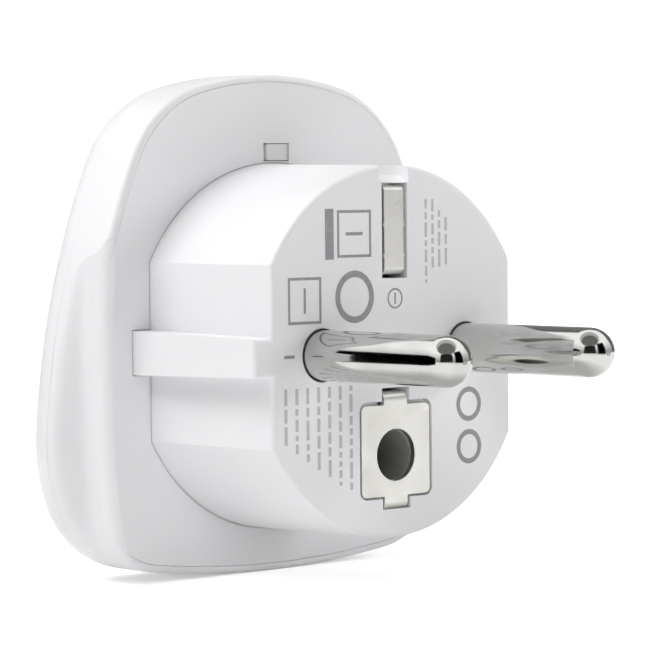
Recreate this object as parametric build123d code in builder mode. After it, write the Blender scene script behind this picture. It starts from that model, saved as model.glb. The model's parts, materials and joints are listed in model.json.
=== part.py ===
from build123d import *
import os

# Travel adapter: a universal two-pole-and-earth socket in a rounded housing, on a 16 A plug nose
# with two round pins, a hole for the socket's own earth pin and earth strips above and below.
#
# Frame, millimetres: the origin is on the nose's front face, midway between the pins.
# The pins point along -Y, the housing and its socket face lie towards +Y, and +Z is up.

# ---- standard plug dimensions ----
PIN_R = 2.4
PIN_LENGTH = 19.0
PIN_X = 9.5
EARTH_HOLE_Z = -10.0
EARTH_HOLE_R = 2.525

# ---- nose ----
NOSE_LENGTH = 17.5
NOSE_BASE_R = 18.3
NOSE_BASE_FLAT = 16.1
NOSE_DRAFT = 1.0
RIB_HEIGHT = 4.3
NOSE_EDGE_R = 0.4
FACE_THICKNESS = 2.6
CAVITY_R = 16.2
CAVITY_FLAT = 14.0
GROOVE_WALL = 1.5
# fine groove in the rear plate around the foot of the nose: width, depth
FOOT_GROOVE = (0.08, 0.16)
# gap around each metal piece that passes through the face
FACE_GAP = 0.15

# ---- depths of the housing's layers along +Y ----
PLATE_Y = NOSE_LENGTH
PLATE_THICKNESS = 2.0
LEDGE_Y = PLATE_Y + PLATE_THICKNESS
SEAM_Y = 23.05
FRONT_Y = 28.0
COVER_THICKNESS = 2.2
COVER_INSIDE_Y = FRONT_Y - COVER_THICKNESS
LEDGE_THICKNESS = 1.2
REAR_EDGE_R = 0.6
FRONT_EDGE_R = 4.75
SEAM_EDGE = 0.03

# ---- housing outline and walls ----
# where the outline's tangent arcs end, from the top middle down the right-hand side: (x, z)
TOP_Z = 27.2
CROWN_END = (9.5, 26.0)
SHOULDER_END = (18.1, 18.7)
FLANK_END = (24.6, -7.5)
HIP_END = (23.5, -15.2)
CORNER_END = (15.5, -21.6)
RIM = 0.75
SHELL_WALL = 2.0
LEDGE_WIDTH = 2.8
SHELL_HALF_BORE = 19.0
GAP = 0.05
# fine groove between the rear plate and the rim around it: width, depth
RIM_GROOVE = (0.03, 0.4)
PRESS_GAP = 0.02
RIVET_GAP = 0.01

# snap arms of the front cover: (x, mid z, width, outward direction along z)
SNAP_ARMS = ((0, 24.3, 8.0, 1), (8, -19.55, 4.0, -1), (-8, -19.55, 4.0, -1))
SNAP_THICKNESS = 1.1
SNAP_END_Y = 20.9
SNAP_Y = 21.8
SNAP_R = 0.6

# ---- grip scoops ----
# greatest depth of a scoop below the outline, from its top end to its lower end: (z, depth)
SCOOP_DEPTH = (
    (11.2, -0.1),
    (9.8, 0.2),
    (8.2, 0.6),
    (4.5, 1.25),
    (-2.0, 2.3),
    (-8.6, 2.95),
    (-14.6, 2.55),
    (-18.0, 1.35),
    (-20.4, -0.1),
)
# layers of a scoop: position along Y, rounding of the rear edge, share of the depth, height kept
SCOOP_LAYERS = (
    (17.0, 1.7, 1.0, 1.0),
    (17.5, 0.95, 1.0, 1.0),
    (17.8, 0.42, 1.0, 0.995),
    (18.2, 0.14, 1.0, 0.985),
    (18.8, 0.0, 1.0, 0.975),
    (20.2, 0.0, 1.0, 0.955),
    (20.8, 0.0, 0.93, 0.945),
    (21.35, 0.0, 0.62, 0.93),
    (21.9, 0.0, 0.24, 0.915),
    (22.5, 0.0, 0.07, 0.9),
    (23.06, 0.0, 0.02, 0.89),
)
# the rear edge is rounded less where the scoop runs out
SCOOP_END_ROUNDING = 0.6
SCOOP_OUTER_X = 32.0

# ---- socket side ----
SOCKET_Z = -2.9
BLADE_X = 6.35
SLANT_X = 6.86
SLANT_ANGLE = 30.0
BLADE_SLOT = (2.0, 7.0)
ROUND_SLOT_R = 2.6
LEAD_IN = 0.35
EARTH_ROUND_Z = SOCKET_Z + 11.9
EARTH_BLADE_Z = SOCKET_Z + 14.3

# ---- pins and what they are riveted to ----
PIN_NECK_R = 2.2
COLLAR_R = 3.5
TAIL_R = 1.3
TAIL_HEAD_R = 1.7
TAIL_HEAD = 1.0
TAIL_TAPER = 0.4

# ---- sheet metal ----
SHEET = 0.6
STRIP_WIDTH = 2.54
CONTACT_BACK_Y = 4.25
CONTACT_X = (4.9, 12.4)
CONTACT_BEND_R = 0.9
CONTACT_MID_Y = CONTACT_BACK_Y + SHEET / 2
CONTACT_PATH = (
    (18.9, 0.9),
    (14.8, -1.2),
    (8.5, 2.0),
    (CONTACT_MID_Y, 2.6),
    (CONTACT_MID_Y, -6.8),
    (8.5, -6.9),
    (14.8, -4.6),
    (18.9, -6.7),
)
BRIDGE_Y = 4.8
BRIDGE_SHEET = 0.8
BRIDGE_WIDTH = 4.4
BRIDGE_Z = (-5.4, 13.6)
BRIDGE_CORNER_R = 0.8
SOLDER_GAP = 0.05
RIVET_R = 1.0
RIVET_HEAD = 0.55
RIVET_HEAD_R = (1.8, 1.6)
RIVET_CHAMFER = 0.3
EARTH_CONTACT_Y = BRIDGE_Y + BRIDGE_SHEET
EARTH_CONTACT_Z = 11.4
EARTH_CONTACT_HEIGHT = 5.6
EARTH_CONTACT_BEND_R = 0.6
EARTH_CONTACT_MID_Y = EARTH_CONTACT_Y + SHEET / 2
EARTH_CONTACT_PATH = (
    (-2.6, 18.9),
    (-1.1, 15.0),
    (-2.7, 9.0),
    (-2.7, EARTH_CONTACT_MID_Y),
    (2.7, EARTH_CONTACT_MID_Y),
    (2.7, 9.0),
    (1.1, 15.0),
    (2.6, 18.9),
)
SLEEVE_R = (2.45, 3.0)
SLEEVE_Y = (0.7, 15.0)
SLEEVE_FLANGE_R = 4.0
SLEEVE_SLOT = (0.5, 6.0)
TAB_END_Y = 6.2
STRIP_TAB_Z = 7.7
PLATE_TAB_Z = -4.2
# the lower tab's slot is taller than its sheet, mostly downwards, to clear the bend
TAB_SLOT_Z = PLATE_TAB_Z - 0.1
TAB_SLOT_HEIGHT = 1.6

# ---- earth strip window and earth plate in the face ----
WINDOW = (3.35, 7.05, 16.18)
GROOVE_WIDTH = 3.9
GROOVE_FLOOR_Z = 16.4
UPPER_WEB = 1.9
UPPER_WEB_LIP = 0.1
LOWER_GROOVE_FLOOR_Z = 15.6
LOWER_WEB = 2.0
GROOVE_CUT = 10.0
# the upper strip drops through a slot in the groove's floor: depth in Y, slot length along Y, slot depth
STRIP_DROP_Y = 2.55
DROP_SLOT = 1.5
DROP_DEPTH = 3.2
STRIP_BEND_R = 0.36
CRIMP_Z = (12.2, 9.2)
CRIMP = (0.14, 0.3)
EARTH_PLATE = (9.0, 8.8)
EARTH_PLATE_MID_Z = -9.55
EARTH_PLATE_LOW_Z = EARTH_PLATE_MID_Z - EARTH_PLATE[1] / 2
EARTH_PLATE_CORNER_R = 0.6
EARTH_PLATE_BEND_R = 0.5
# gap between the earth plate and the recess it lies in
PLATE_GAP = 0.3
PLATE_RECESS_MID_Z = EARTH_PLATE_MID_Z + 0.08
EARTH_TAB_WIDTH = 3.05
RECESS_DEPTH = 0.65
# the lower tab turns into the face at TAB_FOOT_Z and slants back to meet the lower groove at RAMP_Y
TAB_FOOT_Z = -14.9
RAMP_Y = 2.6
RAMP_GAP = (0.3, 0.45)
STRIP_FACE_Y = 0.08 + SHEET / 2
STRIP_FACE_TOP_Z = WINDOW[2] - 0.45
STRIP_END_Y = PLATE_Y - 0.3
UPPER_STRIP_PATH = (
    (STRIP_END_Y, GROOVE_FLOOR_Z + SHEET / 2),
    (STRIP_DROP_Y, GROOVE_FLOOR_Z + SHEET / 2),
    (STRIP_DROP_Y, STRIP_FACE_TOP_Z),
    (STRIP_FACE_Y, STRIP_FACE_TOP_Z),
    (STRIP_FACE_Y, STRIP_TAB_Z),
    (TAB_END_Y, STRIP_TAB_Z),
)
LOWER_STRIP_PATH = (
    (TAB_END_Y, PLATE_TAB_Z),
    (GAP + SHEET / 2, PLATE_TAB_Z),
    (GAP + SHEET / 2, TAB_FOOT_Z),
    (RAMP_Y, -LOWER_GROOVE_FLOOR_Z - SHEET / 2),
    (STRIP_END_Y, -LOWER_GROOVE_FLOOR_Z - SHEET / 2),
)

# ---- contact carrier and shutter guide ----
CARRIER_Y = (6.9, 19.2)
CARRIER_GAP = 0.2
POCKET_Z = (-7.6, 3.4)
POCKET_GAP = 0.4
EARTH_POCKET = (7.0, 6.6)
GUIDE_HALF_WIDTH = 16.6
GUIDE_EDGE_GAP = 0.4
GUIDE_OPENING_GAP = 0.3

# ---- screws, shutter and spring ----
SCREW_SPOTS = ((10.2, 9.2), (-10.2, 9.2))
SCREW_R = 1.0
SCREW_LENGTH = 8.0
SCREW_HEAD_R = 2.0
SCREW_HEAD = 1.3
SCREW_HEAD_EDGE_R = 0.5
CROSS_SLOT = (2.2, 0.45)
CROSS_SLOT_DEPTH = 0.8
BOSS_R = 2.2
PILOT_DEPTH = 9.0
GUIDE_Y = LEDGE_Y + 0.1
GUIDE_THICKNESS = 1.0
GUIDE_FACE_Y = GUIDE_Y + GUIDE_THICKNESS
RAIL_X = (13.1, 14.6)
RAIL_Z = (-15.4, 3.0)
TOP_STOP = 1.2
TOP_STOP_DEPTH = 1.0
SHUTTER_BACK_Y = GUIDE_FACE_Y + GAP
SHUTTER_FRONT_Y = COVER_INSIDE_Y - 0.2
SHUTTER_BOTTOM_Z = -6.9
SHUTTER_TOP_Z = 1.1
FLAP_X = (4.3, 13.0)
FLAP_FRONT_EDGE = 1.0
FLAP_BACK_EDGE = 0.9
SHUTTER_GAP = 0.1
SHUTTER_BRIDGE_Y = 25.2
SHUTTER_BRIDGE = 3.3
SHUTTER_SPIGOT = 1.4
SPRING_Y = 22.9
SPRING_SEAT_Z = -18.4
SPRING_SEAT = (8.0, 1.0)
SEAT_SPIGOT = 1.8
SPRING_R = 1.5
SPRING_WIRE_R = 0.2
SPRING_TURNS = 7.5
SPIGOT_R = 0.9

# ---- latch window in the rear plate, and the tongue that shows in it: (x, z) of the middle, size ----
LATCH_WINDOW_AT = (0.4, 19.4)
LATCH_WINDOW = (3.4, 1.8)
TONGUE_AT = (0.64, 19.42)
TONGUE = (2.84, 1.68)
TONGUE_SETBACK = 0.12


def at_depth(y):
    """Plane across the adapter at depth y: local x is +X, local y is +Z, and it faces the pins."""
    return Plane.XZ.offset(-y)


def housing_outline(inset=0.0):
    """Rounded trapezium of the housing: tangent arcs down one side, mirrored to the other."""
    with BuildSketch() as outline:
        with BuildLine():
            crown = TangentArc((0, TOP_Z), CROWN_END, tangent=(1, 0))
            shoulder = TangentArc(crown @ 1, SHOULDER_END, tangent=crown % 1)
            flank = TangentArc(shoulder @ 1, FLANK_END, tangent=shoulder % 1)
            hip = TangentArc(flank @ 1, HIP_END, tangent=flank % 1)
            corner = TangentArc(hip @ 1, CORNER_END, tangent=hip % 1)
            # the last arc is level where it meets its mirror image, which fixes how far it sags
            slope = (corner % 1).Y / (corner % 1).X
            sag = CORNER_END[0] * ((1 + slope**2) ** 0.5 - 1) / slope
            TangentArc(corner @ 1, (0, CORNER_END[1] - sag), tangent=corner % 1)
            mirror(about=Plane.YZ)
        make_face()
        if inset:
            offset(amount=-inset)
    return outline.sketch


def inner_outline(inset, half_width):
    """Housing outline moved inwards and trimmed by two upright side walls."""
    with BuildSketch() as outline:
        add(housing_outline(inset))
        Rectangle(2 * half_width, 4 * TOP_Z, mode=Mode.INTERSECT)
    return outline.sketch


def round_with_flats(radius, flat):
    """Circle cut by two upright flats."""
    with BuildSketch() as section:
        Circle(radius)
        Rectangle(2 * flat, 2 * radius, mode=Mode.INTERSECT)
    return section.sketch


def pole_opening(side, grow=0.0):
    """One pole's universal opening: upright blade, slanted blade and round pin in one hole."""
    width, height = BLADE_SLOT[0] + 2 * grow, BLADE_SLOT[1] + 2 * grow
    with BuildSketch() as opening:
        with Locations((side * BLADE_X, SOCKET_Z)):
            Rectangle(width, height)
        with Locations(Location((side * SLANT_X, SOCKET_Z), side * -SLANT_ANGLE)):
            Rectangle(width, height)
        with Locations((side * PIN_X, SOCKET_Z)):
            Circle(ROUND_SLOT_R + grow)
    return opening.sketch


def earth_opening(grow=0.0):
    """Universal earth opening: round earth pin joined to a flat earth blade above it."""
    with BuildSketch() as opening:
        with Locations((0, EARTH_ROUND_Z)):
            Circle(ROUND_SLOT_R + grow)
        with Locations((0, EARTH_BLADE_Z)):
            Rectangle(BLADE_SLOT[0] + 2 * grow, BLADE_SLOT[1] + 2 * grow)
    return opening.sketch


def socket_openings(grow=0.0):
    """The three openings of the socket."""
    with BuildSketch() as openings:
        add(pole_opening(1, grow))
        add(pole_opening(-1, grow))
        add(earth_opening(grow))
    return openings.sketch


def outline_x(z):
    """Half-width of the housing's outline at height z."""
    crossing = housing_outline().face().intersect(Edge.make_line((0, z), (SCOOP_OUTER_X, z)))
    return max(point.X for point in crossing.vertices())


def scoop_cutter(side):
    """Finger scoop on one side: lofted from its rounded rear edge over the floor to a lip at the outline."""
    low = SCOOP_DEPTH[-1][0]
    with BuildPart() as cutter:
        for y, rounding, share, height in SCOOP_LAYERS:
            edge = []
            for z, depth in SCOOP_DEPTH:
                z = low + (z - low) * height
                inwards = share * depth + rounding * min(1, SCOOP_END_ROUNDING + max(depth, 0))
                edge.append((side * (outline_x(z) - inwards), z))
            with BuildSketch(at_depth(y)):
                with BuildLine():
                    Spline(edge)
                    Polyline(
                        edge[-1],
                        (side * SCOOP_OUTER_X, edge[-1][1]),
                        (side * SCOOP_OUTER_X, edge[0][1]),
                        edge[0],
                    )
                make_face()
        loft()
    return cutter.part


def strip_profile(points, bend):
    """Cross-section of a bent metal strip that follows points, one sheet thick."""
    with BuildSketch() as profile:
        with BuildLine():
            FilletPolyline(points, radius=bend)
        trace(line_width=SHEET)
    return profile.sketch


os.makedirs("parts", exist_ok=True)

scoops = [scoop_cutter(side) for side in (1, -1)]

# ---- plug body: hollow nose with guide ribs, and the rear plate of the housing ----
with BuildPart() as plug_body:
    with BuildSketch(at_depth(PLATE_Y)):
        add(round_with_flats(NOSE_BASE_R, NOSE_BASE_FLAT))
        Rectangle(2 * NOSE_BASE_R, RIB_HEIGHT)
    extrude(amount=NOSE_LENGTH, taper=NOSE_DRAFT)
    fillet(plug_body.faces().sort_by(Axis.Y)[0].edges(), NOSE_EDGE_R)
    with BuildSketch(at_depth(PLATE_Y)):
        add(housing_outline(RIM))
    extrude(amount=-PLATE_THICKNESS)
    with BuildSketch(at_depth(PLATE_Y)):
        add(housing_outline(RIM))
        add(housing_outline(RIM + RIM_GROOVE[0]), mode=Mode.SUBTRACT)
    extrude(amount=-RIM_GROOVE[1], mode=Mode.SUBTRACT)
    # groove around the foot of the nose and its ribs
    with BuildSketch(at_depth(PLATE_Y)):
        add(round_with_flats(NOSE_BASE_R + FOOT_GROOVE[0], NOSE_BASE_FLAT + FOOT_GROOVE[0]))
        Rectangle(2 * (NOSE_BASE_R + FOOT_GROOVE[0]), RIB_HEIGHT + 2 * FOOT_GROOVE[0])
        add(round_with_flats(NOSE_BASE_R, NOSE_BASE_FLAT), mode=Mode.SUBTRACT)
        Rectangle(2 * NOSE_BASE_R, RIB_HEIGHT, mode=Mode.SUBTRACT)
    extrude(amount=-FOOT_GROOVE[1], mode=Mode.SUBTRACT)
    # hollow for the contacts, with thicker walls under the two earth grooves
    with BuildSketch(at_depth(FACE_THICKNESS)):
        add(round_with_flats(CAVITY_R, CAVITY_FLAT))
        for spot in ((0, GROOVE_FLOOR_Z), (0, -LOWER_GROOVE_FLOOR_Z)):
            with Locations(spot):
                Rectangle(GROOVE_WIDTH + 2 * GROOVE_WALL, 2 * GROOVE_WALL, mode=Mode.SUBTRACT)
    extrude(amount=-(LEDGE_Y - FACE_THICKNESS), mode=Mode.SUBTRACT)
    # screw bosses
    with BuildSketch(at_depth(FACE_THICKNESS)):
        with Locations(*SCREW_SPOTS):
            Circle(BOSS_R)
    extrude(amount=-(LEDGE_Y - FACE_THICKNESS))
    with BuildSketch(at_depth(LEDGE_Y)):
        with Locations(*SCREW_SPOTS):
            Circle(SCREW_R + PRESS_GAP)
    extrude(amount=PILOT_DEPTH, mode=Mode.SUBTRACT)
    # holes through the face: the pins, the earth strip's window, the earth plate's two tabs
    with BuildSketch(at_depth(0)):
        with Locations((PIN_X, 0), (-PIN_X, 0)):
            Circle(PIN_R + FACE_GAP)
        with Locations((0, (WINDOW[1] + WINDOW[2]) / 2)):
            Rectangle(WINDOW[0], WINDOW[2] - WINDOW[1])
        with Locations((0, TAB_SLOT_Z)):
            Rectangle(EARTH_TAB_WIDTH + 2 * PLATE_GAP, TAB_SLOT_HEIGHT)
        with Locations((0, EARTH_HOLE_Z)):
            Circle(SLEEVE_R[1] + FACE_GAP)
    extrude(amount=-FACE_THICKNESS, mode=Mode.SUBTRACT)
    # shallow recess that the earth plate lies in
    with BuildSketch(at_depth(0)):
        with Locations((0, PLATE_RECESS_MID_Z)):
            RectangleRounded(
                EARTH_PLATE[0] + 2 * PLATE_GAP,
                EARTH_PLATE[1] + 2 * PLATE_GAP,
                EARTH_PLATE_CORNER_R + PLATE_GAP,
            )
    extrude(amount=-RECESS_DEPTH, mode=Mode.SUBTRACT)
    # lower tab's way from the recess into the lower groove
    with BuildSketch(Plane.YZ):
        with BuildLine():
            Polyline(
                (-1, EARTH_PLATE_LOW_Z),
                (-1, TAB_FOOT_Z - RAMP_GAP[0]),
                (0, TAB_FOOT_Z - RAMP_GAP[0]),
                (RAMP_Y, -LOWER_GROOVE_FLOOR_Z - SHEET - 2 * GAP),
                (LOWER_WEB + 1, -LOWER_GROOVE_FLOOR_Z - SHEET - GAP),
                (LOWER_WEB + 1, -LOWER_GROOVE_FLOOR_Z + GAP),
                (RECESS_DEPTH, TAB_FOOT_Z + RAMP_GAP[1]),
                (RECESS_DEPTH, EARTH_PLATE_LOW_Z),
                close=True,
            )
        make_face()
    extrude(amount=EARTH_TAB_WIDTH / 2 + PLATE_GAP, both=True, mode=Mode.SUBTRACT)
    # upper groove: its floor slopes down to the window at the face
    with BuildSketch(Plane.YZ):
        with BuildLine():
            Polyline(
                (-1, WINDOW[2] + UPPER_WEB_LIP),
                (0, WINDOW[2] + UPPER_WEB_LIP),
                (UPPER_WEB, GROOVE_FLOOR_Z + SHEET),
                (UPPER_WEB, GROOVE_FLOOR_Z),
                (PLATE_Y, GROOVE_FLOOR_Z),
                (PLATE_Y, 2 * NOSE_BASE_R),
                (-1, 2 * NOSE_BASE_R),
                close=True,
            )
        make_face()
    extrude(amount=GROOVE_WIDTH / 2, both=True, mode=Mode.SUBTRACT)
    # slot in the groove floor where the strip drops behind the face
    with BuildSketch(Plane.XY.offset(GROOVE_FLOOR_Z)):
        with Locations((0, STRIP_DROP_Y)):
            Rectangle(STRIP_WIDTH + 2 * FACE_GAP, DROP_SLOT)
    extrude(amount=-DROP_DEPTH, mode=Mode.SUBTRACT)
    # lower groove, closed at the face by a web
    with BuildSketch(Plane.YZ):
        with Locations(((LOWER_WEB + PLATE_Y) / 2, -LOWER_GROOVE_FLOOR_Z - GROOVE_CUT / 2)):
            Rectangle(PLATE_Y - LOWER_WEB, GROOVE_CUT)
    extrude(amount=GROOVE_WIDTH / 2, both=True, mode=Mode.SUBTRACT)
    # latch window above the nose
    with BuildSketch(at_depth(PLATE_Y)):
        with Locations(LATCH_WINDOW_AT):
            Rectangle(*LATCH_WINDOW)
    extrude(amount=-PLATE_THICKNESS, mode=Mode.SUBTRACT)
    for scoop in scoops:
        add(scoop, mode=Mode.SUBTRACT)
plug_body.part.label = "plug_body"
export_step(plug_body.part, "parts/plug_body.step")

# ---- outer shell: the housing's middle ring with its rounded rim, ledge and grip scoops ----
with BuildPart() as outer_shell:
    with BuildSketch(at_depth(PLATE_Y)):
        add(housing_outline())
    extrude(amount=-(SEAM_Y - PLATE_Y))
    fillet(outer_shell.faces().sort_by(Axis.Y)[0].edges(), REAR_EDGE_R)
    chamfer(outer_shell.faces().sort_by(Axis.Y)[-1].edges(), SEAM_EDGE)
    with BuildSketch(at_depth(PLATE_Y)):
        add(housing_outline(RIM))
    extrude(amount=-PLATE_THICKNESS, mode=Mode.SUBTRACT)
    with BuildSketch(at_depth(LEDGE_Y)):
        add(inner_outline(LEDGE_WIDTH, SHELL_HALF_BORE))
    extrude(amount=-LEDGE_THICKNESS, mode=Mode.SUBTRACT)
    with BuildSketch(at_depth(LEDGE_Y + LEDGE_THICKNESS)):
        add(inner_outline(SHELL_WALL, SHELL_HALF_BORE))
    extrude(amount=-(SEAM_Y - LEDGE_Y - LEDGE_THICKNESS), mode=Mode.SUBTRACT)
    for x, z, width, outward in SNAP_ARMS:
        with BuildSketch(Plane.YZ.offset(x)):
            with Locations((SNAP_Y, z + outward * SNAP_THICKNESS / 2)):
                Circle(SNAP_R + GAP)
        extrude(amount=width / 2 + GAP, both=True, mode=Mode.SUBTRACT)
    for scoop in scoops:
        add(scoop, mode=Mode.SUBTRACT)
outer_shell.part.label = "outer_shell"
export_step(outer_shell.part, "parts/outer_shell.step")

# ---- front cover: domed-edge socket face with three universal openings ----
with BuildPart() as front_cover:
    with BuildSketch(at_depth(SEAM_Y)):
        add(housing_outline())
    extrude(amount=-(FRONT_Y - SEAM_Y))
    fillet(front_cover.faces().sort_by(Axis.Y)[-1].edges(), FRONT_EDGE_R)
    chamfer(front_cover.faces().sort_by(Axis.Y)[0].edges(), SEAM_EDGE)
    with BuildSketch(at_depth(SEAM_Y)):
        add(housing_outline(SHELL_WALL))
    extrude(amount=-(COVER_INSIDE_Y - SEAM_Y), mode=Mode.SUBTRACT)
    with BuildSketch(at_depth(FRONT_Y)):
        add(socket_openings())
    extrude(amount=COVER_THICKNESS, mode=Mode.SUBTRACT)
    # shallow lead-in step around the openings
    with BuildSketch(at_depth(FRONT_Y)):
        add(socket_openings(LEAD_IN))
    extrude(amount=LEAD_IN, mode=Mode.SUBTRACT)
    # snap arms that click into the outer shell
    for x, z, width, outward in SNAP_ARMS:
        with BuildSketch(Plane.YZ.offset(x)):
            with Locations(((SNAP_END_Y + COVER_INSIDE_Y) / 2, z)):
                Rectangle(COVER_INSIDE_Y - SNAP_END_Y, SNAP_THICKNESS)
            with Locations((SNAP_Y, z + outward * SNAP_THICKNESS / 2)):
                Circle(SNAP_R)
        extrude(amount=width / 2, both=True)
front_cover.part.label = "front_cover"
export_step(front_cover.part, "parts/front_cover.step")

# ---- pins: ball-ended shank, collar behind the face, tail riveted through the contact ----
for pole, side in (("live", -1), ("neutral", 1)):
    with BuildPart() as pin:
        with BuildSketch(Plane.XY) as half_profile:
            with BuildLine():
                ball = RadiusArc((0, -PIN_LENGTH), (PIN_R, PIN_R - PIN_LENGTH), -PIN_R)
                Polyline(
                    ball @ 1,
                    (PIN_R, 0),
                    (PIN_NECK_R, 0),
                    (PIN_NECK_R, FACE_THICKNESS),
                    (COLLAR_R, FACE_THICKNESS),
                    (COLLAR_R, CONTACT_BACK_Y),
                    (TAIL_R, CONTACT_BACK_Y),
                    (TAIL_R, CONTACT_BACK_Y + SHEET),
                    (TAIL_HEAD_R, CONTACT_BACK_Y + SHEET),
                    (TAIL_HEAD_R - TAIL_TAPER, CONTACT_BACK_Y + SHEET + TAIL_HEAD),
                    (0, CONTACT_BACK_Y + SHEET + TAIL_HEAD),
                    (0, -PIN_LENGTH),
                )
            make_face()
        revolve(axis=Axis.Y)
    placed = pin.part.moved(Location((side * PIN_X, 0, 0)))
    placed.label = f"{pole}_pin"
    export_step(placed, f"parts/{pole}_pin.step")

# ---- socket contacts: sheet-metal clamps, one behind each pole's opening ----
for pole, side in (("live", -1), ("neutral", 1)):
    with BuildPart() as contact:
        with BuildSketch(Plane.YZ.offset(side * CONTACT_X[0])):
            add(strip_profile(CONTACT_PATH, CONTACT_BEND_R))
        extrude(amount=side * (CONTACT_X[1] - CONTACT_X[0]))
        with BuildSketch(at_depth(CONTACT_BACK_Y)):
            with Locations((side * PIN_X, 0)):
                Circle(TAIL_R + RIVET_GAP)
        extrude(amount=-SHEET, mode=Mode.SUBTRACT)
    contact.part.label = f"{pole}_contact"
    export_step(contact.part, f"parts/{pole}_contact.step")

# ---- upper earth strip: along the upper groove, down the face, and back in to the earth bridge ----
with BuildPart() as upper_earth_strip:
    with BuildSketch(Plane.YZ):
        add(strip_profile(UPPER_STRIP_PATH, STRIP_BEND_R))
    extrude(amount=STRIP_WIDTH / 2, both=True)
    # small nibs on the edges of the stretch that shows on the face
    with BuildSketch(at_depth(STRIP_FACE_Y - SHEET / 2)):
        for z in CRIMP_Z:
            with Locations((0, z)):
                Rectangle(STRIP_WIDTH + 2 * CRIMP[0], CRIMP[1])
    extrude(amount=-SHEET)
upper_earth_strip.part.label = "upper_earth_strip"
export_step(upper_earth_strip.part, "parts/upper_earth_strip.step")

# ---- lower earth plate: square plate in the face, a tab to the bridge, a strip to the lower groove ----
with BuildPart() as lower_earth_plate:
    with BuildSketch(Plane.YZ):
        add(strip_profile(LOWER_STRIP_PATH, EARTH_PLATE_BEND_R))
    extrude(amount=EARTH_TAB_WIDTH / 2, both=True)
    with BuildSketch(at_depth(GAP)):
        with Locations((0, EARTH_PLATE_MID_Z)):
            RectangleRounded(*EARTH_PLATE, EARTH_PLATE_CORNER_R)
    extrude(amount=-SHEET)
    with BuildSketch(at_depth(0)):
        with Locations((0, EARTH_HOLE_Z)):
            Circle(EARTH_HOLE_R)
    extrude(amount=-2 * SHEET, mode=Mode.SUBTRACT)
lower_earth_plate.part.label = "lower_earth_plate"
export_step(lower_earth_plate.part, "parts/lower_earth_plate.step")

# ---- earth pin sleeve: slotted tube that grips an earth pin standing in the wall socket ----
with BuildPart() as earth_pin_sleeve:
    with BuildSketch(at_depth(SLEEVE_Y[0])):
        with Locations((0, EARTH_HOLE_Z)):
            Circle(SLEEVE_R[1])
    extrude(amount=SLEEVE_Y[0] - SLEEVE_Y[1])
    with BuildSketch(at_depth(FACE_THICKNESS + GAP)):
        with Locations((0, EARTH_HOLE_Z)):
            Circle(SLEEVE_FLANGE_R)
    extrude(amount=-SHEET)
    with BuildSketch(at_depth(SLEEVE_Y[0])):
        with Locations((0, EARTH_HOLE_Z)):
            Circle(SLEEVE_R[0])
    extrude(amount=SLEEVE_Y[0] - SLEEVE_Y[1], mode=Mode.SUBTRACT)
    with BuildSketch(at_depth(SLEEVE_Y[1])):
        with Locations((0, EARTH_HOLE_Z)):
            Rectangle(3 * SLEEVE_R[1], SLEEVE_SLOT[0])
    extrude(amount=SLEEVE_SLOT[1], mode=Mode.SUBTRACT)
earth_pin_sleeve.part.label = "earth_pin_sleeve"
export_step(earth_pin_sleeve.part, "parts/earth_pin_sleeve.step")

# ---- earth bridge: flat bar that joins both earth pieces to the socket's earth contact ----
with BuildPart() as earth_bridge:
    with BuildSketch(at_depth(BRIDGE_Y)):
        with Locations((0, (BRIDGE_Z[0] + BRIDGE_Z[1]) / 2)):
            RectangleRounded(BRIDGE_WIDTH, BRIDGE_Z[1] - BRIDGE_Z[0], BRIDGE_CORNER_R)
        with Locations((0, STRIP_TAB_Z)):
            Rectangle(STRIP_WIDTH + 2 * SOLDER_GAP, SHEET + 2 * SOLDER_GAP, mode=Mode.SUBTRACT)
        with Locations((0, PLATE_TAB_Z)):
            Rectangle(EARTH_TAB_WIDTH + 2 * SOLDER_GAP, SHEET + 2 * SOLDER_GAP, mode=Mode.SUBTRACT)
        with Locations((0, EARTH_CONTACT_Z)):
            Circle(RIVET_R + RIVET_GAP, mode=Mode.SUBTRACT)
    extrude(amount=-BRIDGE_SHEET)
earth_bridge.part.label = "earth_bridge"
export_step(earth_bridge.part, "parts/earth_bridge.step")

# ---- earth contact: U-shaped clamp behind the socket's earth opening ----
with BuildPart() as earth_contact:
    with BuildSketch(Plane.XY.offset(EARTH_CONTACT_Z - EARTH_CONTACT_HEIGHT / 2)):
        add(strip_profile(EARTH_CONTACT_PATH, EARTH_CONTACT_BEND_R))
    extrude(amount=EARTH_CONTACT_HEIGHT)
    with BuildSketch(at_depth(EARTH_CONTACT_Y)):
        with Locations((0, EARTH_CONTACT_Z)):
            Circle(RIVET_R + RIVET_GAP)
    extrude(amount=-SHEET, mode=Mode.SUBTRACT)
earth_contact.part.label = "earth_contact"
export_step(earth_contact.part, "parts/earth_contact.step")

# ---- earth rivet through the bridge and the earth contact ----
with BuildPart() as earth_rivet:
    with BuildSketch(at_depth(BRIDGE_Y)):
        with Locations((0, EARTH_CONTACT_Z)):
            Circle(RIVET_HEAD_R[0])
    extrude(amount=RIVET_HEAD)
    with BuildSketch(at_depth(BRIDGE_Y)):
        with Locations((0, EARTH_CONTACT_Z)):
            Circle(RIVET_R)
    extrude(amount=-(BRIDGE_SHEET + SHEET))
    with BuildSketch(at_depth(EARTH_CONTACT_Y + SHEET)):
        with Locations((0, EARTH_CONTACT_Z)):
            Circle(RIVET_HEAD_R[1])
    extrude(amount=-RIVET_HEAD)
    for head in (0, -1):
        chamfer(earth_rivet.faces().sort_by(Axis.Y)[head].edges(), RIVET_CHAMFER)
earth_rivet.part.label = "earth_rivet"
export_step(earth_rivet.part, "parts/earth_rivet.step")

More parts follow.
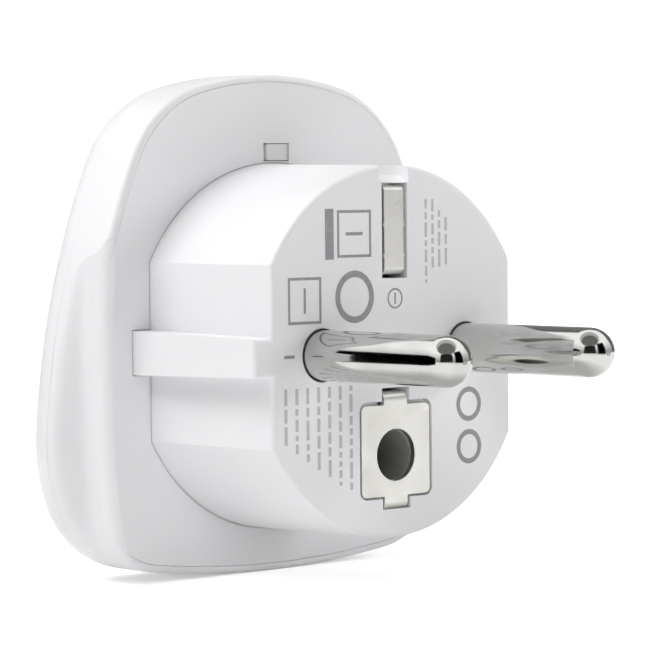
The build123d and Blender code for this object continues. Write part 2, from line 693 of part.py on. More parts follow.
# ---- contact carrier: insulating block in the nose that keeps the contacts apart ----
with BuildPart() as contact_carrier:
    with BuildSketch(at_depth(CARRIER_Y[0])):
        add(round_with_flats(CAVITY_R - CARRIER_GAP, CAVITY_FLAT - CARRIER_GAP))
        with Locations((0, GROOVE_FLOOR_Z), (0, -LOWER_GROOVE_FLOOR_Z)):
            Rectangle(
                GROOVE_WIDTH + 2 * (GROOVE_WALL + CARRIER_GAP),
                2 * (GROOVE_WALL + CARRIER_GAP),
                mode=Mode.SUBTRACT,
            )
        with Locations(*SCREW_SPOTS):
            Circle(BOSS_R + CARRIER_GAP, mode=Mode.SUBTRACT)
        for side in (1, -1):
            with Locations((side * sum(CONTACT_X) / 2, sum(POCKET_Z) / 2)):
                Rectangle(
                    CONTACT_X[1] - CONTACT_X[0] + 2 * POCKET_GAP,
                    POCKET_Z[1] - POCKET_Z[0],
                    mode=Mode.SUBTRACT,
                )
        with Locations((0, EARTH_CONTACT_Z)):
            Rectangle(*EARTH_POCKET, mode=Mode.SUBTRACT)
        with Locations((0, EARTH_HOLE_Z)):
            Circle(SLEEVE_R[1] + GAP, mode=Mode.SUBTRACT)
    extrude(amount=CARRIER_Y[0] - CARRIER_Y[1])
contact_carrier.part.label = "contact_carrier"
export_step(contact_carrier.part, "parts/contact_carrier.step")

# ---- shutter guide: plate behind the shutter with rails, top stop, spring seat and latch tongue ----
with BuildPart() as shutter_guide:
    with BuildSketch(at_depth(GUIDE_Y)):
        add(inner_outline(LEDGE_WIDTH + GUIDE_EDGE_GAP, GUIDE_HALF_WIDTH))
        add(socket_openings(GUIDE_OPENING_GAP), mode=Mode.SUBTRACT)
        with Locations(*SCREW_SPOTS):
            Circle(SCREW_R + 2 * GAP, mode=Mode.SUBTRACT)
    extrude(amount=-GUIDE_THICKNESS)
    with BuildSketch(at_depth(GUIDE_FACE_Y)):
        for side in (1, -1):
            with Locations((side * sum(RAIL_X) / 2, sum(RAIL_Z) / 2)):
                Rectangle(RAIL_X[1] - RAIL_X[0], RAIL_Z[1] - RAIL_Z[0])
        with Locations((0, SPRING_SEAT_Z - SPRING_SEAT[1] / 2)):
            Rectangle(*SPRING_SEAT)
    extrude(amount=-(COVER_INSIDE_Y - 2 * GAP - GUIDE_FACE_Y))
    with BuildSketch(at_depth(GUIDE_FACE_Y)):
        with Locations((0, SHUTTER_TOP_Z + SHUTTER_GAP + TOP_STOP / 2)):
            Rectangle(2 * RAIL_X[1], TOP_STOP)
    extrude(amount=-TOP_STOP_DEPTH)
    with BuildSketch(Plane.XY.offset(SPRING_SEAT_Z)):
        with Locations((0, SPRING_Y)):
            Circle(SPIGOT_R)
    extrude(amount=SEAT_SPIGOT)
    # tongue that shows in the rear plate's latch window
    with BuildSketch(at_depth(GUIDE_Y)):
        with Locations(TONGUE_AT):
            Rectangle(*TONGUE)
    extrude(amount=GUIDE_Y - PLATE_Y - TONGUE_SETBACK)
shutter_guide.part.label = "shutter_guide"
export_step(shutter_guide.part, "parts/shutter_guide.step")

# ---- guide screws: two self-tapping screws into the nose's bosses ----
with BuildPart() as guide_screws:
    with BuildSketch(at_depth(GUIDE_FACE_Y)):
        with Locations(*SCREW_SPOTS):
            Circle(SCREW_HEAD_R)
    extrude(amount=-SCREW_HEAD)
    fillet(guide_screws.faces().group_by(Axis.Y)[-1].edges(), SCREW_HEAD_EDGE_R)
    with BuildSketch(at_depth(GUIDE_FACE_Y)):
        with Locations(*SCREW_SPOTS):
            Circle(SCREW_R)
    extrude(amount=SCREW_LENGTH)
    with BuildSketch(at_depth(GUIDE_FACE_Y + SCREW_HEAD)):
        with Locations(*SCREW_SPOTS):
            Rectangle(*CROSS_SLOT)
            Rectangle(*CROSS_SLOT, rotation=90)
    extrude(amount=CROSS_SLOT_DEPTH, mode=Mode.SUBTRACT)
guide_screws.part.label = "guide_screws"
export_step(guide_screws.part, "parts/guide_screws.step")

# ---- shutter: two ramped flaps that a plug's pins push down, joined by a bridge over the spring ----
with BuildPart() as shutter:
    for side in (1, -1):
        with BuildSketch(Plane.YZ.offset(side * FLAP_X[0])):
            with BuildLine():
                Polyline(
                    (SHUTTER_BACK_Y, SHUTTER_BOTTOM_Z),
                    (SHUTTER_FRONT_Y, SHUTTER_BOTTOM_Z),
                    (SHUTTER_FRONT_Y, SHUTTER_BOTTOM_Z + FLAP_FRONT_EDGE),
                    (SHUTTER_BACK_Y + FLAP_BACK_EDGE, SHUTTER_TOP_Z),
                    (SHUTTER_BACK_Y, SHUTTER_TOP_Z),
                    close=True,
                )
            make_face()
        extrude(amount=side * (FLAP_X[1] - FLAP_X[0]))
    with BuildSketch(Plane.XY.offset(SHUTTER_BOTTOM_Z)):
        with Locations((0, (SHUTTER_BACK_Y + SHUTTER_BRIDGE_Y) / 2)):
            Rectangle(2 * FLAP_X[0], SHUTTER_BRIDGE_Y - SHUTTER_BACK_Y)
    extrude(amount=SHUTTER_BRIDGE)
    with BuildSketch(Plane.XY.offset(SHUTTER_BOTTOM_Z)):
        with Locations((0, SPRING_Y)):
            Circle(SPIGOT_R)
    extrude(amount=-SHUTTER_SPIGOT)
shutter.part.label = "shutter"
export_step(shutter.part, "parts/shutter.step")

# ---- shutter spring: compression coil between the guide's seat and the shutter ----
with BuildPart() as shutter_spring:
    rise = SHUTTER_BOTTOM_Z - SPRING_SEAT_Z - 2 * (SPRING_WIRE_R + PRESS_GAP)
    with BuildLine(Plane((0, SPRING_Y, SPRING_SEAT_Z + SPRING_WIRE_R + PRESS_GAP))) as coil:
        Helix(pitch=rise / SPRING_TURNS, height=rise, radius=SPRING_R)
    with BuildSketch(Plane(origin=coil.line @ 0, z_dir=coil.line % 0)):
        Circle(SPRING_WIRE_R)
    sweep(is_frenet=True)
shutter_spring.part.label = "shutter_spring"
export_step(shutter_spring.part, "parts/shutter_spring.step")
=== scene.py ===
"""Looks for the travel adapter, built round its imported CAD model.

Frame, metres: the origin is on the nose's front face, midway between the pins. The pins point along -Y,
the socket face is towards +Y, +Z is up.
"""
import json
import math
import random

import bmesh
import bpy
from mathutils import Matrix, Vector


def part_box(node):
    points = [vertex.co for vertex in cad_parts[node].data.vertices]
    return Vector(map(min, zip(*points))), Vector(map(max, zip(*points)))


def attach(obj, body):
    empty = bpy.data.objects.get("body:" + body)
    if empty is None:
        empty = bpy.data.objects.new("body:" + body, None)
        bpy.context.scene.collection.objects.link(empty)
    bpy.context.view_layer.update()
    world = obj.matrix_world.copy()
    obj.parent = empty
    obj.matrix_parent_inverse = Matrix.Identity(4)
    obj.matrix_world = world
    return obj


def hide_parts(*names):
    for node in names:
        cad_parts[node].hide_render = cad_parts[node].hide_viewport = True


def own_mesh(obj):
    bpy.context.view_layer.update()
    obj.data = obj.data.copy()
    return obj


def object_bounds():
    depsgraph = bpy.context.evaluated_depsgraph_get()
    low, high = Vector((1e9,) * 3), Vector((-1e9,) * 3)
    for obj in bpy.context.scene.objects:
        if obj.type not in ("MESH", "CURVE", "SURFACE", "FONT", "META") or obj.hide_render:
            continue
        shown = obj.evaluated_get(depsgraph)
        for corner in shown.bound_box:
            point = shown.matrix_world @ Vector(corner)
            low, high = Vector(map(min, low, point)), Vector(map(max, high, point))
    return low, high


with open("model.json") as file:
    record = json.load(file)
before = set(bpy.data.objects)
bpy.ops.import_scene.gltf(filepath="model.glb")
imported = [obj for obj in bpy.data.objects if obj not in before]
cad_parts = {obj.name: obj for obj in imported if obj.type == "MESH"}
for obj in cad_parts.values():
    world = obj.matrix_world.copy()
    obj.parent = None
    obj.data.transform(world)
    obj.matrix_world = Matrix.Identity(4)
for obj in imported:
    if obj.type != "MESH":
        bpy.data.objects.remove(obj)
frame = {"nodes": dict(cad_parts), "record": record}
cad_low, cad_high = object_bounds()

MM = 0.001
UP = Vector((0, 0, 1))
SCENE = bpy.context.scene

# ---- camera: where it stands, in degrees, and where the frame's origin lies in its view ----
CAMERA_AZIMUTH = -42.36
CAMERA_ELEVATION = 2.51
CAMERA_ROLL = math.radians(-0.526)
CAMERA_DISTANCE = 300.25 * MM
ORIGIN_RIGHT = 6.79 * MM
ORIGIN_UP = -2.52 * MM
LENS = 172.6
SENSOR = 36.0

# ---- floor and backdrop ----
FLOOR_HALF_WIDTH = 3.0
FLOOR_FRONT = 1.5
FLOOR_BACK = 1.2
SWEEP_RADIUS = 0.5
BACKDROP_HEIGHT = 2.0
SWEEP_STEPS = 24

# ---- lamps: (name, azimuth, elevation, watts), all the same size and distance ----
LAMP_SIZE = 0.5
LAMP_DISTANCE = 0.85
LAMPS = (
    ("upper_left", -90, 50, 1.9),
    ("front_left", -45, 35, 1.5),
    ("right", 70, 20, 4.6),
    ("overhead", 0, 90, 0.75),
    ("upper_back", 180, 50, 1.05),
    ("back_left", -130, 55, 3.9),
)
SURROUND = 0.03
# in reflections the surround is greyer level with the adapter than above and below it: tones, and the
# heights of the direction between which the tone changes
SURROUND_IN_REFLECTIONS = (0.45, 1.3)
SURROUND_FADE = (0.1, 0.6)
# the paper glows a little, and more for the camera, so that it photographs as plain white
PAPER_GLOW = 0.04
PAPER_GLOW_SEEN = (0.42, 0.95)
PAPER_GLOW_DISTANCES = (60 * MM, 600 * MM)

# upright cards that only reflections see: azimuth, distance, width, lowest and highest point, grey
CARDS = (
    ("dark_side", -128, 75 * MM, 150 * MM, -17 * MM, 27 * MM, 0.0),
    ("dark_bar", 12, 300 * MM, 200 * MM, -22 * MM, 240 * MM, 0.0),
    ("dark_front", -43, 300 * MM, 300 * MM, -8 * MM, 200 * MM, 0.02),
)
# a dark oval overhead, reaching towards the camera: height, distance of its middle, half-axes
CEILING_HEIGHT = 400 * MM
CEILING_MIDDLE = 315 * MM
CEILING_HALF_SIZE = (470 * MM, 330 * MM)
# its grey in the middle and at its rim, and the share of the way out where it starts to fade
CEILING_TONES = (0.19, 0.6)
CEILING_FADE = 0.85
OVAL_STEPS = 64
# a grey disc on the paper that only reflections see, with painted shade near the adapter: height above it,
# radius, greys near and far, and where the far grey is reached
FLOOR_DISC_RISE = 0.5 * MM
FLOOR_DISC_R = 150 * MM
FLOOR_DISC_TONES = (0.6, 1.15)
FLOOR_DISC_FADE = (20 * MM, 42 * MM)

# ---- printed marks on the face, which are laid out in millimetres ----
INK_THICKNESS = 0.012
CIRCLE_STEPS = 48
BARS = (
    (-8.5, 11.4, 1.1, 4.8),
    (-5.3, 11.4, 2.2, 0.3),
    (-11.7, 5.2, 0.28, 2.4),
    (-13.7, 0.0, 1.3, 0.3),
    (0.0, 5.1, 0.2, 1.1),
)
FRAMES = ((-5.3, 11.4, 4.4, 4.5), (-11.7, 5.2, 4.2, 4.4))
FRAME_LINE = 0.26
RINGS = ((-5.3, 5.4, 2.5, 0.62), (0.0, 5.1, 1.0, 0.18), (9.9, -5.6, 1.7, 0.5), (9.9, -9.8, 1.7, 0.5))
DASH_GAP = 0.34
DASH_LENGTHS = (0.45, 1.9)
DASH_SHORTEST = 0.2
DASH_SEED = 7
# columns of dashes on the right: x, top, bottom
SHORT_COLUMNS = ((4.2, 14.6, 6.5), (5.1, 14.6, 7.5), (6.0, 13.5, 8.0), (6.9, 12.8, 8.2))
SHORT_DASH_WIDTH = 0.3
# columns on the left, evenly spaced: how many, first and last x, top, first and last bottom
LONG_COLUMNS = 7
LONG_COLUMNS_X = (-5.9, -14.2)
LONG_COLUMNS_TOP = -3.0
LONG_COLUMNS_BOTTOM = (-13.3, -8.3)
LONG_DASH_WIDTH = 0.36

# ---- shutter spring: wire, turns in all, closed turns at each end, and how flat it gets ----
WIRE_R = 0.2 * MM
SPRING_TURNS = 7.5
CLOSED_TURNS = 0.9
RING_STEPS = 28
WIRE_SIDES = 10
CLOSED_PITCH = 2.1 * WIRE_R


# ======================================================================= node helpers
def add(tree, kind, inputs=None, **settings):
    """Adds a node. An input is set to a value, or linked when the value is another node's output."""
    node = tree.nodes.new(kind)
    for key, value in settings.items():
        setattr(node, key, value)
    for key, value in (inputs or {}).items():
        if isinstance(value, bpy.types.NodeSocket):
            tree.links.new(value, node.inputs[key])
        else:
            node.inputs[key].default_value = value
    return node


def grey(value):
    """A neutral colour."""
    return (value, value, value, 1)


def scaled(colour, factor):
    """A colour made darker or lighter."""
    return tuple(min(1.0, c * factor) for c in colour[:3]) + (1,)


def position(tree, stretch=(1, 1, 1)):
    """The point being shaded, in metres in the frame, with each axis scaled by stretch."""
    point = add(tree, "ShaderNodeTexCoord").outputs["Object"]
    return add(tree, "ShaderNodeMapping", {"Vector": point, "Scale": stretch}).outputs[0]


def noise(tree, size, stretch=(1, 1, 1), detail=2.0, rough=0.5):
    """Noise from 0 to 1 whose blobs are about size across, in metres."""
    return add(
        tree,
        "ShaderNodeTexNoise",
        {"Vector": position(tree, stretch), "Scale": 1 / size, "Detail": detail, "Roughness": rough},
    ).outputs["Fac"]


def spread(tree, value, low, high, start=0.3, end=0.7):
    """Maps a value between start and end to the range low to high."""
    return add(
        tree,
        "ShaderNodeMapRange",
        {"Value": value, "From Min": start, "From Max": end, "To Min": low, "To Max": high},
    ).outputs[0]


def mix(tree, factor, first, second):
    """Mixes two colours."""
    node = add(tree, "ShaderNodeMix", data_type="RGBA")
    for socket, value in ((node.inputs[0], factor), (node.inputs[6], first), (node.inputs[7], second)):
        if isinstance(value, bpy.types.NodeSocket):
            tree.links.new(value, socket)
        else:
            socket.default_value = value
    return node.outputs[2]


def calculate(tree, operation, first, second):
    """One step of arithmetic on two values."""
    return add(tree, "ShaderNodeMath", {0: first, 1: second}, operation=operation).outputs[0]


def edge_mask(tree, radius):
    """1 on sharp edges, falling to 0 at about radius from them."""
    rounded = softened_normal(tree, radius)
    plain = add(tree, "ShaderNodeNewGeometry").outputs["Normal"]
    alike = add(tree, "ShaderNodeVectorMath", {0: rounded, 1: plain}, operation="DOT_PRODUCT")
    return spread(tree, alike.outputs["Value"], 1.0, 0.0, 0.8, 0.99)


def bumped(tree, height, depth, normal=None):
    """A surface normal from a height between 0 and 1 that stands for depth, in metres."""
    inputs = {"Height": height, "Distance": depth, "Strength": 1.0}
    if normal is not None:
        inputs["Normal"] = normal
    return add(tree, "ShaderNodeBump", inputs).outputs[0]


def softened_normal(tree, radius):
    """A surface normal that rounds off sharp edges over radius."""
    return add(tree, "ShaderNodeBevel", {"Radius": radius}, samples=6).outputs[0]


def finish_material(tree, inputs):
    """Joins a principled surface with these inputs to the material's output."""
    surface = add(tree, "ShaderNodeBsdfPrincipled", inputs)
    output = add(tree, "ShaderNodeOutputMaterial")
    tree.links.new(surface.outputs[0], output.inputs[0])


def new_material(name):
    """An empty node material and its tree."""
    material = bpy.data.materials.new(name)
    material.use_nodes = True
    material.node_tree.nodes.clear()
    return material, material.node_tree


# ======================================================================= materials
def moulded_plastic(name, colour, roughness, edge=0.12 * MM):
    """Satin moulded plastic: fine grain, slow tone changes, edges rounded by edge and rubbed smoother."""
    material, tree = new_material(name)
    slow = noise(tree, 14 * MM, detail=3)
    flecks = noise(tree, 0.5 * MM, detail=4, rough=0.7)
    worn = edge_mask(tree, 0.25 * MM)
    darker = scaled(colour, 0.965)
    tone = mix(tree, spread(tree, slow, 0, 1), darker, colour)
    tone = mix(tree, spread(tree, flecks, 0, 0.35, 0.62, 0.8), tone, darker)
    tone = mix(tree, calculate(tree, "MULTIPLY", worn, 0.6), tone, scaled(colour, 1.03))
    polish = spread(tree, noise(tree, 3 * MM, detail=3), roughness - 0.04, roughness + 0.05)
    polish = calculate(tree, "SUBTRACT", polish, calculate(tree, "MULTIPLY", worn, 0.08))
    ripple = bumped(tree, noise(tree, 5 * MM, detail=1), 0.02 * MM, softened_normal(tree, edge))
    normal = bumped(tree, noise(tree, 0.16 * MM, detail=3, rough=0.6), 0.004 * MM, ripple)
    finish_material(
        tree,
        {
            "Base Color": tone,
            "Roughness": polish,
            "Normal": normal,
            "IOR": 1.49,
            "Subsurface Weight": 0.06,
            "Subsurface Radius": (1.0, 0.95, 0.9),
            "Subsurface Scale": 0.4 * MM,
        },
    )
    return material


def plated_metal(name, colour, shade, roughness, lines, line_depth, stain=0.15, metallic=1.0):
    """Metal with dull stains, rubbed edges and fine lines, which run along the least scaled axis."""
    material, tree = new_material(name)
    slow = noise(tree, 4 * MM, detail=4)
    worn = edge_mask(tree, 0.15 * MM)
    tone = mix(tree, spread(tree, slow, 0, stain, 0.4, 0.75), colour, shade)
    tone = mix(tree, calculate(tree, "MULTIPLY", worn, 0.5), tone, scaled(colour, 1.1))
    streaks = noise(tree, 1 * MM, lines, detail=3, rough=0.7)
    smudges = noise(tree, 2.2 * MM, detail=3)
    polish = calculate(
        tree,
        "ADD",
        spread(tree, smudges, roughness * 0.8, roughness * 1.35),
        spread(tree, streaks, 0.0, roughness * 0.3),
    )
    normal = bumped(tree, streaks, line_depth, softened_normal(tree, 0.06 * MM))
    finish_material(
        tree, {"Base Color": tone, "Metallic": metallic, "Roughness": polish, "Normal": normal}
    )
    return material


def printed_ink(name, colour):
    """Thin grey pad-printed ink, a little patchy."""
    material, tree = new_material(name)
    patches = noise(tree, 0.5 * MM, detail=5, rough=0.7)
    tone = mix(tree, spread(tree, patches, 0, 1, 0.45, 0.8), colour, scaled(colour, 1.35))
    normal = bumped(tree, noise(tree, 0.12 * MM, detail=2), 0.003 * MM)
    finish_material(
        tree, {"Base Color": tone, "Roughness": spread(tree, patches, 0.5, 0.65), "Normal": normal}
    )
    return material


def studio_white(name):
    """Plain pale paper for the floor and backdrop."""
    material, tree = new_material(name)
    tone = mix(tree, noise(tree, 3 * MM, detail=3), grey(0.93), grey(0.95))
    away = add(tree, "ShaderNodeVectorMath", {0: position(tree)}, operation="LENGTH").outputs["Value"]
    seen = spread(tree, away, *PAPER_GLOW_SEEN, *PAPER_GLOW_DISTANCES)
    by_camera = add(tree, "ShaderNodeLightPath").outputs["Is Camera Ray"]
    glow = spread(tree, by_camera, PAPER_GLOW, seen, 0, 1)
    finish_material(
        tree, {"Base Color": tone, "Roughness": 0.9, "Emission Color": grey(1), "Emission Strength": glow}
    )
    return material


# ---- materials by slot; a metal has: colour, stain's colour, roughness, lines, depth, stain, metallic ----
HOUSING_WHITE = (0.86, 0.86, 0.875, 1)
HOUSING_ROUGHNESS = 0.36
SLOT_MATERIALS = {
    "housing": moulded_plastic("housing_plastic", HOUSING_WHITE, HOUSING_ROUGHNESS),
    "inner_plastic": moulded_plastic("inner_plastic", (0.83, 0.83, 0.835, 1), 0.45),
    "shutter": moulded_plastic("shutter_plastic", (0.80, 0.80, 0.79, 1), 0.3),
    "pin_nickel": plated_metal(
        "pin_nickel", (0.66, 0.655, 0.64, 1), (0.42, 0.41, 0.39, 1), 0.08, (9, 0.5, 9), 0.0008 * MM, 0.4
    ),
    "strip_nickel": plated_metal(
        "strip_nickel", (0.90, 0.89, 0.85, 1), (0.72, 0.70, 0.64, 1), 0.28, (9, 9, 0.5), 0.0012 * MM, 0.3
    ),
    "brass": plated_metal(
        "brass", (0.80, 0.62, 0.32, 1), (0.50, 0.34, 0.15, 1), 0.25, (6, 6, 0.6), 0.0015 * MM, 0.5
    ),
    "sleeve_steel": plated_metal(
        "sleeve_steel", (0.42, 0.42, 0.41, 1), grey(0.30), 0.55, (6, 0.6, 6), 0.002 * MM, 0.4, 0.35
    ),
    "spring_steel": plated_metal(
        "spring_steel", grey(0.55), (0.35, 0.35, 0.36, 1), 0.2, (4, 4, 4), 0.001 * MM
    ),
    "screw_steel": plated_metal(
        "screw_steel", (0.62, 0.62, 0.61, 1), (0.45, 0.45, 0.43, 1), 0.25, (4, 4, 4), 0.002 * MM
    ),
}
# the shell's rim thins to nothing in the scoops, so its edges are softened less
NODE_MATERIALS = {
    "outer_shell": moulded_plastic("shell_plastic", HOUSING_WHITE, HOUSING_ROUGHNESS, 0.015 * MM),
}
INK = printed_ink("mark_ink", (0.29, 0.29, 0.3, 1))
PALE_INK = printed_ink("print_ink", (0.5, 0.5, 0.51, 1))


def dress_cad_nodes():
    """Gives each CAD node its own material, or else the material of its slot in the record."""
    for part in frame["record"]["subparts"]:
        materials = frame["nodes"][part["node"]].data.materials
        materials.clear()
        materials.append(NODE_MATERIALS.get(part["node"], SLOT_MATERIALS[part["material_slot"]]))


# ======================================================================= mesh helpers
def mesh_object(name, mesh_data, material):
    """Turns a bmesh into a piece of the scene."""
    bmesh.ops.recalc_face_normals(mesh_data, faces=mesh_data.faces)
    mesh = bpy.data.meshes.new(name)
    mesh_data.to_mesh(mesh)
    mesh_data.free()
    mesh.materials.append(material)
    piece = bpy.data.objects.new(name, mesh)
    SCENE.collection.objects.link(piece)
    return piece


def smooth(piece):
    """Shades a piece smoothly."""
    for face in piece.data.polygons:
        face.use_smooth = True


def ink_patch(mesh_data, outline, holes=()):
    """A patch of ink on the face, from loops of (x, z) points; it stands INK_THICKNESS proud."""
    edges = []
    for loop in (outline, *holes):
        points = [mesh_data.verts.new((x * MM, 0, z * MM)) for x, z in loop]
        edges += [mesh_data.edges.new((a, b)) for a, b in zip(points, points[1:] + points[:1])]
    filled = bmesh.ops.triangle_fill(mesh_data, edges=edges, use_beauty=True, use_dissolve=False)
    faces = [part for part in filled["geom"] if isinstance(part, bmesh.types.BMFace)]
    raised = bmesh.ops.extrude_face_region(mesh_data, geom=faces, use_keep_orig=True)
    tops = [part for part in raised["geom"] if isinstance(part, bmesh.types.BMVert)]
    bmesh.ops.translate(mesh_data, verts=tops, vec=(0, -INK_THICKNESS * MM, 0))


def circle_points(x, z, radius):
    """Points round a circle on the face."""
    turn = 2 * math.pi / CIRCLE_STEPS
    return [(x + radius * math.cos(i * turn), z + radius * math.sin(i * turn)) for i in range(CIRCLE_STEPS)]


def bar_points(x, z, width, height):
    """Corners of an upright rectangle about its middle."""
    return [
        (x - width / 2, z - height / 2),
        (x + width / 2, z - height / 2),
        (x + width / 2, z + height / 2),
        (x - width / 2, z + height / 2),
    ]


def ink_frame(mesh_data, x, z, width, height):
    """An outlined rectangle."""
    hole = bar_points(x, z, width - 2 * FRAME_LINE, height - 2 * FRAME_LINE)
    ink_patch(mesh_data, bar_points(x, z, width, height), [hole])


def ink_ring(mesh_data, x, z, radius, line):
    """An outlined circle."""
    ink_patch(mesh_data, circle_points(x, z, radius), [circle_points(x, z, radius - line)])


def ink_dashes(mesh_data, chance, x, top, bottom, width):
    """A column of dashes of mixed lengths, which stands for a line of small print without letters."""
    z = top
    while z > bottom:
        length = min(chance.uniform(*DASH_LENGTHS), z - bottom)
        if length > DASH_SHORTEST:
            ink_patch(mesh_data, bar_points(x, z - length / 2, width, length))
        z -= length + DASH_GAP


# ======================================================================= pieces
def add_ink(name, mesh_data, ink):
    """Turns a bmesh of ink patches into a piece on the adapter's face."""
    piece = mesh_object(name, mesh_data, ink)
    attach(piece, "adapter")


def face_marks():
    """Generic printed marks on the face, in the places where such an adapter carries its print."""
    marks = bmesh.new()
    for bar in BARS:
        ink_patch(marks, bar_points(*bar))
    for outlined in FRAMES:
        ink_frame(marks, *outlined)
    for ring in RINGS:
        ink_ring(marks, *ring)
    add_ink("face_marks", marks, INK)


def face_print():
    """Columns of paler dashes on the face, where such an adapter carries its small print."""
    chance = random.Random(DASH_SEED)
    dashes = bmesh.new()
    for x, top, bottom in SHORT_COLUMNS:
        ink_dashes(dashes, chance, x, top, bottom, SHORT_DASH_WIDTH)
    for i in range(LONG_COLUMNS):
        share = i / (LONG_COLUMNS - 1)
        x, bottom = (first + (last - first) * share for first, last in (LONG_COLUMNS_X, LONG_COLUMNS_BOTTOM))
        ink_dashes(dashes, chance, x, LONG_COLUMNS_TOP, bottom, LONG_DASH_WIDTH)
    add_ink("face_print", dashes, PALE_INK)


def spring_height(turn, low_z, high_z):
    """Height of the wire's middle after so many turns: flat closed turns at both ends, open ones between."""
    open_turns = SPRING_TURNS - 2 * CLOSED_TURNS
    opened = min(max(turn - CLOSED_TURNS, 0), open_turns)
    open_pitch = (high_z - low_z - 2 * WIRE_R - 2 * CLOSED_TURNS * CLOSED_PITCH) / open_turns
    return low_z + WIRE_R + (turn - opened) * CLOSED_PITCH + opened * open_pitch


def shutter_spring():
    """Compression spring with closed end turns, in the place of the CAD coil."""
    low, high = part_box("shutter_spring")
    centre = (low + high) / 2
    coil_r = (high.x - low.x) / 2 - WIRE_R
    coil = bmesh.new()
    rings = []
    for i in range(int(SPRING_TURNS * RING_STEPS) + 1):
        turn = i / RING_STEPS
        angle = 2 * math.pi * turn
        out = Vector((math.cos(angle), math.sin(angle), 0))
        middle = Vector((centre.x, centre.y, spring_height(turn, low.z, high.z))) + out * coil_r
        ring = []
        for side in range(WIRE_SIDES):
            around = 2 * math.pi * side / WIRE_SIDES
            offset = out * (WIRE_R * math.cos(around)) + Vector((0, 0, WIRE_R * math.sin(around)))
            ring.append(coil.verts.new(middle + offset))
        rings.append(ring)
    for first, second in zip(rings, rings[1:]):
        for a in range(WIRE_SIDES):
            b = (a + 1) % WIRE_SIDES
            coil.faces.new((first[a], first[b], second[b], second[a]))
    coil.faces.new(rings[0])
    coil.faces.new(rings[-1])
    piece = mesh_object("spring_coil", coil, SLOT_MATERIALS["spring_steel"])
    smooth(piece)
    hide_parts("shutter_spring")
    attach(piece, "adapter")
    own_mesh(piece)


# ======================================================================= studio
def towards(azimuth, elevation):
    """Unit vector from the adapter to a place around it: azimuth 0 is in front of the pins, 90 is +X."""
    a, e = math.radians(azimuth), math.radians(elevation)
    return Vector((math.sin(a) * math.cos(e), -math.cos(a) * math.cos(e), math.sin(e)))


def floor_and_backdrop():
    """Pale paper sweep: level under the adapter, curving up behind it as the camera sees it."""
    away = -towards(CAMERA_AZIMUTH, 0)
    across = away.cross(UP)
    profile = [(-FLOOR_FRONT, 0.0), (FLOOR_BACK, 0.0)]
    for i in range(1, SWEEP_STEPS + 1):
        angle = math.pi / 2 * i / SWEEP_STEPS
        height = SWEEP_RADIUS * (1 - math.cos(angle))
        profile.append((FLOOR_BACK + SWEEP_RADIUS * math.sin(angle), height))
    profile.append((FLOOR_BACK + SWEEP_RADIUS, BACKDROP_HEIGHT))
    paper = bmesh.new()
    rows = []
    for distance, height in profile:
        point = away * distance + UP * (cad_low.z + height)
        rows.append([paper.verts.new(point + across * side * FLOOR_HALF_WIDTH) for side in (-1, 1)])
    for near, far in zip(rows, rows[1:]):
        paper.faces.new((near[0], near[1], far[1], far[0]))
    sweep = mesh_object("studio_floor", paper, studio_white("studio_paper"))
    smooth(sweep)


def card(name, corners, tones, middle=Vector(), fade=(0.0, 1.0)):
    """A flat card that only shiny surfaces see; its grey changes with the distance from middle."""
    material, tree = new_material(name)
    out = add(tree, "ShaderNodeVectorMath", {0: position(tree), 1: middle}, operation="DISTANCE")
    finish_material(
        tree,
        {
            "Base Color": grey(0),
            "Specular IOR Level": 0,
            "Emission Color": grey(1),
            "Emission Strength": spread(tree, out.outputs["Value"], *tones, *fade),
        },
    )
    sheet = bmesh.new()
    sheet.faces.new([sheet.verts.new(corner) for corner in corners])
    piece = mesh_object(name, sheet, material)
    piece.visible_camera = piece.visible_diffuse = piece.visible_shadow = False


def upright_card(name, azimuth, distance, width, low_z, high_z, tone):
    """A card of one grey that stands facing the adapter."""
    middle = towards(azimuth, 0) * distance
    across = middle.cross(UP).normalized() * (width / 2)
    ends = ((-1, low_z), (1, low_z), (1, high_z), (-1, high_z))
    card(name, [middle + across * side + UP * z for side, z in ends], (tone, tone))


def oval(middle, reach, across):
    """Points round a level oval whose half-axes are reach and across."""
    turn = 2 * math.pi / OVAL_STEPS
    return [middle + reach * math.cos(i * turn) + across * math.sin(i * turn) for i in range(OVAL_STEPS)]


def dark_ceiling():
    """A dark oval overhead, which reaches further towards the camera than away from it."""
    ahead = towards(CAMERA_AZIMUTH, 0)
    half_length, half_width = CEILING_HALF_SIZE
    middle = ahead * CEILING_MIDDLE + UP * CEILING_HEIGHT
    corners = oval(middle, ahead * half_length, ahead.cross(UP) * half_width)
    card("dark_ceiling", corners, CEILING_TONES, middle, (half_width * CEILING_FADE, half_width))


def floor_disc():
    """A grey disc on the paper that only reflections see, darker near the adapter as painted shade of the
    paper under it, for the lower halves of the pins.
    """
    middle = UP * (cad_low.z + FLOOR_DISC_RISE)
    corners = oval(middle, Vector((FLOOR_DISC_R, 0, 0)), Vector((0, FLOOR_DISC_R, 0)))
    card("floor_disc", corners, FLOOR_DISC_TONES, middle, FLOOR_DISC_FADE)


def lights():
    """Soft round lamps about the adapter, which don't show in reflections."""
    middle = (cad_low + cad_high) / 2
    for name, azimuth, elevation, power in LAMPS:
        data = bpy.data.lights.new(name, "AREA")
        data.shape, data.size, data.energy = "DISK", LAMP_SIZE, power
        lamp = bpy.data.objects.new(name, data)
        lamp.visible_glossy = False
        lamp.location = middle + towards(azimuth, elevation) * LAMP_DISTANCE
        lamp.rotation_euler = (middle - lamp.location).to_track_quat("-Z", "Y").to_euler()
        SCENE.collection.objects.link(lamp)


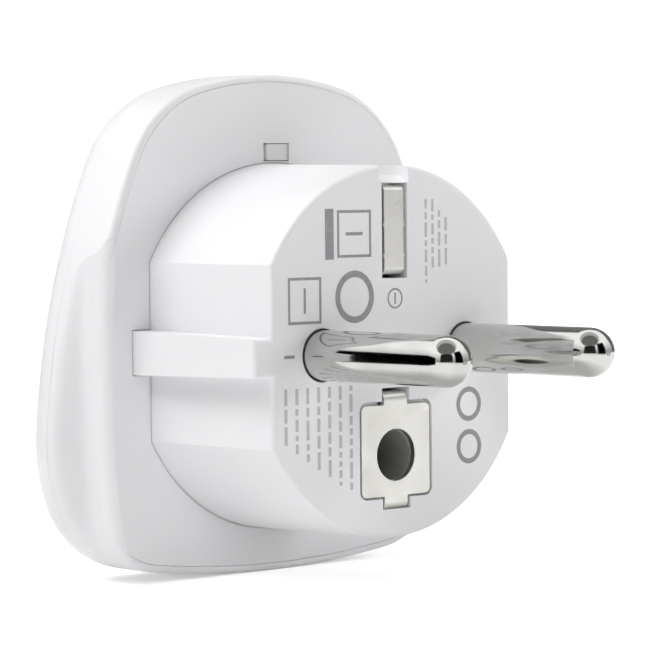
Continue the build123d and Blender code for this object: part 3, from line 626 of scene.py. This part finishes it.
def reflected_studio():
    """What only the shiny surfaces see of the studio."""
    for settings in CARDS:
        upright_card(*settings)
    dark_ceiling()
    floor_disc()


def surround():
    """Even pale surround: dim as a light, brighter in reflections, and white where the camera sees it."""
    world = bpy.data.worlds.new("studio_surround")
    world.use_nodes = True
    tree = world.node_tree
    tree.nodes.clear()
    direction = add(tree, "ShaderNodeTexCoord").outputs["Generated"]
    height = add(tree, "ShaderNodeSeparateXYZ", {0: direction}).outputs["Z"]
    off_level = add(tree, "ShaderNodeMath", {0: height}, operation="ABSOLUTE").outputs[0]
    shown = spread(tree, off_level, *SURROUND_IN_REFLECTIONS, *SURROUND_FADE)
    ray = add(tree, "ShaderNodeLightPath").outputs
    strength = spread(tree, ray["Is Glossy Ray"], SURROUND, shown, 0, 1)
    strength = calculate(tree, "MAXIMUM", strength, ray["Is Camera Ray"])
    background = add(tree, "ShaderNodeBackground", {"Color": grey(1), "Strength": strength})
    output = add(tree, "ShaderNodeOutputWorld")
    tree.links.new(background.outputs[0], output.inputs[0])
    SCENE.world = world


def camera():
    """Camera at the viewing angle, with the frame's origin in its place in the view."""
    back = towards(CAMERA_AZIMUTH, CAMERA_ELEVATION)
    level = UP.cross(back).normalized()
    upright = back.cross(level)
    right = level * math.cos(CAMERA_ROLL) + upright * math.sin(CAMERA_ROLL)
    up = upright * math.cos(CAMERA_ROLL) - level * math.sin(CAMERA_ROLL)
    data = bpy.data.cameras.new("photo_camera")
    data.lens, data.sensor_width = LENS, SENSOR
    data.clip_start, data.clip_end = 0.01, 20.0
    viewer = bpy.data.objects.new("photo_camera", data)
    turned = Matrix((right, up, back)).transposed().to_4x4()
    place = back * CAMERA_DISTANCE - right * ORIGIN_RIGHT - up * ORIGIN_UP
    viewer.matrix_world = Matrix.Translation(place) @ turned
    SCENE.collection.objects.link(viewer)
    SCENE.camera = viewer


dress_cad_nodes()
face_marks()
face_print()
shutter_spring()
floor_and_backdrop()
lights()
reflected_studio()
surround()
camera()
SCENE.view_settings.view_transform = "Standard"
